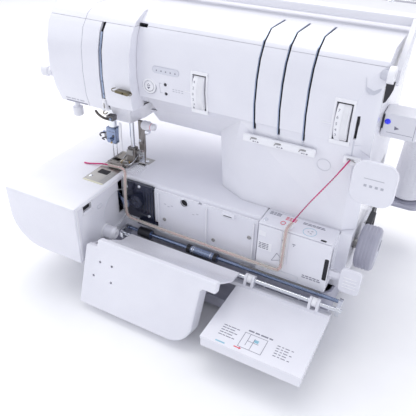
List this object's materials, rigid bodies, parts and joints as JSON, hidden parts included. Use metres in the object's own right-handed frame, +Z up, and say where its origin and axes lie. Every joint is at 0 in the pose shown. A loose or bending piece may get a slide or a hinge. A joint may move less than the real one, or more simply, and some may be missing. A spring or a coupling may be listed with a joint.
{
  "type": "serger overlock machine",
  "caption": "Overlock sewing machine with wide throat, folded-open looper cover, air-threaded loopers, hand wheel, dials, carrying handle and rear spool stand.",
  "frame": {"origin": "on the table under the middle of the whole machine, its looper cover folded open", "axes": "+X to the right along the arm, from the needles to the hand wheel; +Y to the back; +Z up"},
  "size_m": [0.428, 0.343, 0.323],
  "materials": {
    "white_shell": "glossy moulded plastic, cool white",
    "grey_shell": "satin moulded plastic, grey lavender",
    "white_matte": "satin white plastic",
    "steel": "brushed and ground",
    "chrome": "polished",
    "cast_frame": "die cast",
    "antenna_metal": "satin tube",
    "dark_metal": "gloss blue black",
    "black_plastic": "fine grain",
    "foot_rubber": "matte",
    "belt_rubber": "ribbed",
    "tube_plastic": "translucent milky tube",
    "pink_thread": "twisted polyester",
    "white_thread": "wound polyester"
  },
  "bodies": {
    "frame": {"air_coupler": "chrome", "antenna_pole": "antenna_metal", "base_tray": "grey_shell", "bed_casing": "white_shell", "drive_belt": "belt_rubber", "face_cover": "white_shell", "frame_casting": "cast_frame", "front_casing": "white_shell", "head_lower_shell": "white_shell", "head_thread_guide": "steel", "hinge_rod": "chrome", "looper_air_tube": "tube_plastic", "looper_bay_plate": "white_shell", "looper_drive_housing": "dark_metal", "looper_thread": "pink_thread", "looper_thread_guide": "white_matte", "lower_knife": "steel", "mains_inlet": "black_plastic", "motor": "dark_metal", "needle_cover": "white_shell", "needle_plate": "steel", "needle_port_box": "white_shell", "rear_casing": "white_shell", "right_block": "white_shell", "rubber_foot_1": "foot_rubber", "rubber_foot_2": "foot_rubber", "rubber_foot_3": "foot_rubber", "rubber_foot_4": "foot_rubber", "spool_stand": "grey_shell", "threading_panel": "white_shell", "top_cover": "white_shell", "triple_thread_guide": "white_matte"},
    "drive_shaft": {"main_shaft": "steel", "hand_wheel": "grey_shell"},
    "motor_rotor": {"motor_pulley": "steel"},
    "needle_carriage": {"needle_bar": "chrome", "needle_clamp": "steel", "left_needle": "chrome", "right_needle": "chrome"},
    "presser": {"presser_bar": "chrome", "presser_foot": "steel"},
    "feed": {"feed_dog": "steel"},
    "knife": {"upper_knife": "steel"},
    "upper_looper_arm": {"upper_looper": "chrome"},
    "lower_looper_arm": {"lower_looper": "chrome"},
    "width_knob": {"cutting_width_knob": "white_matte"},
    "cover_slider": {"left_sleeve": "white_matte", "right_sleeve": "white_matte"},
    "cover": {"looper_cover": "white_shell"},
    "air_lever_arm": {"air_lever": "white_shell"},
    "selector": {"selector_lever": "white_shell"},
    "stitch_dial_wheel": {"stitch_dial": "white_matte"},
    "tension_dial_wheel": {"tension_dial": "white_matte"},
    "lift_button": {"foot_lift_button": "white_matte"},
    "lifter": {"presser_lifter": "white_matte"},
    "pressure_knob": {"presser_pressure_knob": "white_matte"},
    "handle": {"carry_handle": "white_shell"},
    "switch_rocker": {"power_switch": "black_plastic"},
    "antenna": {"antenna_rail": "antenna_metal"},
    "cone": {"thread_cone": "white_thread"}
  },
  "joints": [
    {"name": "hand_wheel_turn", "type": "hinge", "parent": "frame", "child": "drive_shaft", "pos_m": [0.166, -0.01852, 0.095], "axis": [1, 0, 0], "continuous": true},
    {"name": "motor_turn", "type": "hinge", "parent": "frame", "child": "motor_rotor", "pos_m": [0.126, 0.05949, 0.084], "axis": [1, 0, 0], "continuous": true},
    {"name": "needle_stroke", "type": "slide", "parent": "frame", "child": "needle_carriage", "axis": [0, 0, 1], "range_m": [0, 0.024]},
    {"name": "presser_lift", "type": "slide", "parent": "frame", "child": "presser", "axis": [0, 0, 1], "range_m": [0, 0.006]},
    {"name": "feed_stroke", "type": "slide", "parent": "frame", "child": "feed", "axis": [0, 1, 0], "range_m": [0, 0.002]},
    {"name": "knife_stroke", "type": "slide", "parent": "frame", "child": "knife", "axis": [0, 0, 1], "range_m": [0, 0.003]},
    {"name": "upper_looper_swing", "type": "hinge", "parent": "frame", "child": "upper_looper_arm", "pos_m": [-0.104, -0.06471, 0.087], "axis": [0, -1, 0], "range_deg": [0, 22]},
    {"name": "lower_looper_swing", "type": "hinge", "parent": "frame", "child": "lower_looper_arm", "pos_m": [-0.128, -0.04231, 0.064], "axis": [0, 1, 0], "range_deg": [0, 20]},
    {"name": "cutting_width_turn", "type": "hinge", "parent": "frame", "child": "width_knob", "pos_m": [-0.094, -0.02971, 0.1766], "axis": [1, 0, 0], "range_deg": [-90, 90]},
    {"name": "cover_slide", "type": "slide", "parent": "frame", "child": "cover_slider", "axis": [1, 0, 0], "range_m": [-0.008, 0]},
    {"name": "cover_fold", "type": "hinge", "parent": "cover_slider", "child": "cover", "pos_m": [0.077, -0.07852, 0.05], "axis": [-1, 0, 0], "range_deg": [0, 71]},
    {"name": "air_lever_turn", "type": "hinge", "parent": "frame", "child": "air_lever_arm", "pos_m": [0.166, -0.01351, 0.184], "axis": [1, 0, 0], "range_deg": [0, 25]},
    {"name": "selector_turn", "type": "hinge", "parent": "frame", "child": "selector", "pos_m": [0.138, -0.06051, 0.0798], "axis": [0, 1, 0], "range_deg": [-12, 8]},
    {"name": "stitch_dial_turn", "type": "hinge", "parent": "frame", "child": "stitch_dial_wheel", "pos_m": [-0.0094, -0.03871, 0.2435], "axis": [1, 0, 0], "range_deg": [-140, 140]},
    {"name": "tension_dial_turn", "type": "hinge", "parent": "frame", "child": "tension_dial_wheel", "pos_m": [0.1336, -0.03871, 0.2455], "axis": [1, 0, 0], "range_deg": [-140, 140]},
    {"name": "lift_button_press", "type": "slide", "parent": "frame", "child": "lift_button", "axis": [0, 1, 0], "range_m": [0, 0.002], "stiffness_N_per_m": 300},
    {"name": "lifter_swing", "type": "hinge", "parent": "frame", "child": "lifter", "pos_m": [-0.194, -0.03451, 0.232], "axis": [-1, 0, 0], "range_deg": [0, 30]},
    {"name": "pressure_turn", "type": "hinge", "parent": "frame", "child": "pressure_knob", "pos_m": [-0.167, -0.06051, 0.196], "axis": [0, 0, 1], "range_deg": [-180, 180]},
    {"name": "handle_raise", "type": "hinge", "parent": "frame", "child": "handle", "pos_m": [-0.014, -0.01952, 0.281], "axis": [1, 0, 0], "range_deg": [0, 50]},
    {"name": "switch_rock", "type": "hinge", "parent": "frame", "child": "switch_rocker", "pos_m": [0.162, 0.06549, 0.08], "axis": [0, 0, 1], "range_deg": [0, 8]},
    {"name": "antenna_extend", "type": "slide", "parent": "frame", "child": "antenna", "axis": [0, 0, 1], "range_m": [0, 0.11]},
    {"name": "cone_turn", "type": "hinge", "parent": "frame", "child": "cone", "pos_m": [0.19, 0.14349, 0.12], "axis": [0, 0, 1], "continuous": true}
  ],
  "couplings": [
    {"joint": "motor_turn", "follows": "hand_wheel_turn", "ratio": 2.375},
    {"joint": "knife_stroke", "follows": "needle_stroke", "ratio": 0.125},
    {"joint": "feed_stroke", "follows": "needle_stroke", "ratio": 0.083333},
    {"joint": "upper_looper_swing", "follows": "needle_stroke", "rad_per_m": 15.998},
    {"joint": "lower_looper_swing", "follows": "needle_stroke", "rad_per_m": 14.543},
    {"joint": "lifter_swing", "follows": "presser_lift", "rad_per_m": 87.25}
  ]
}
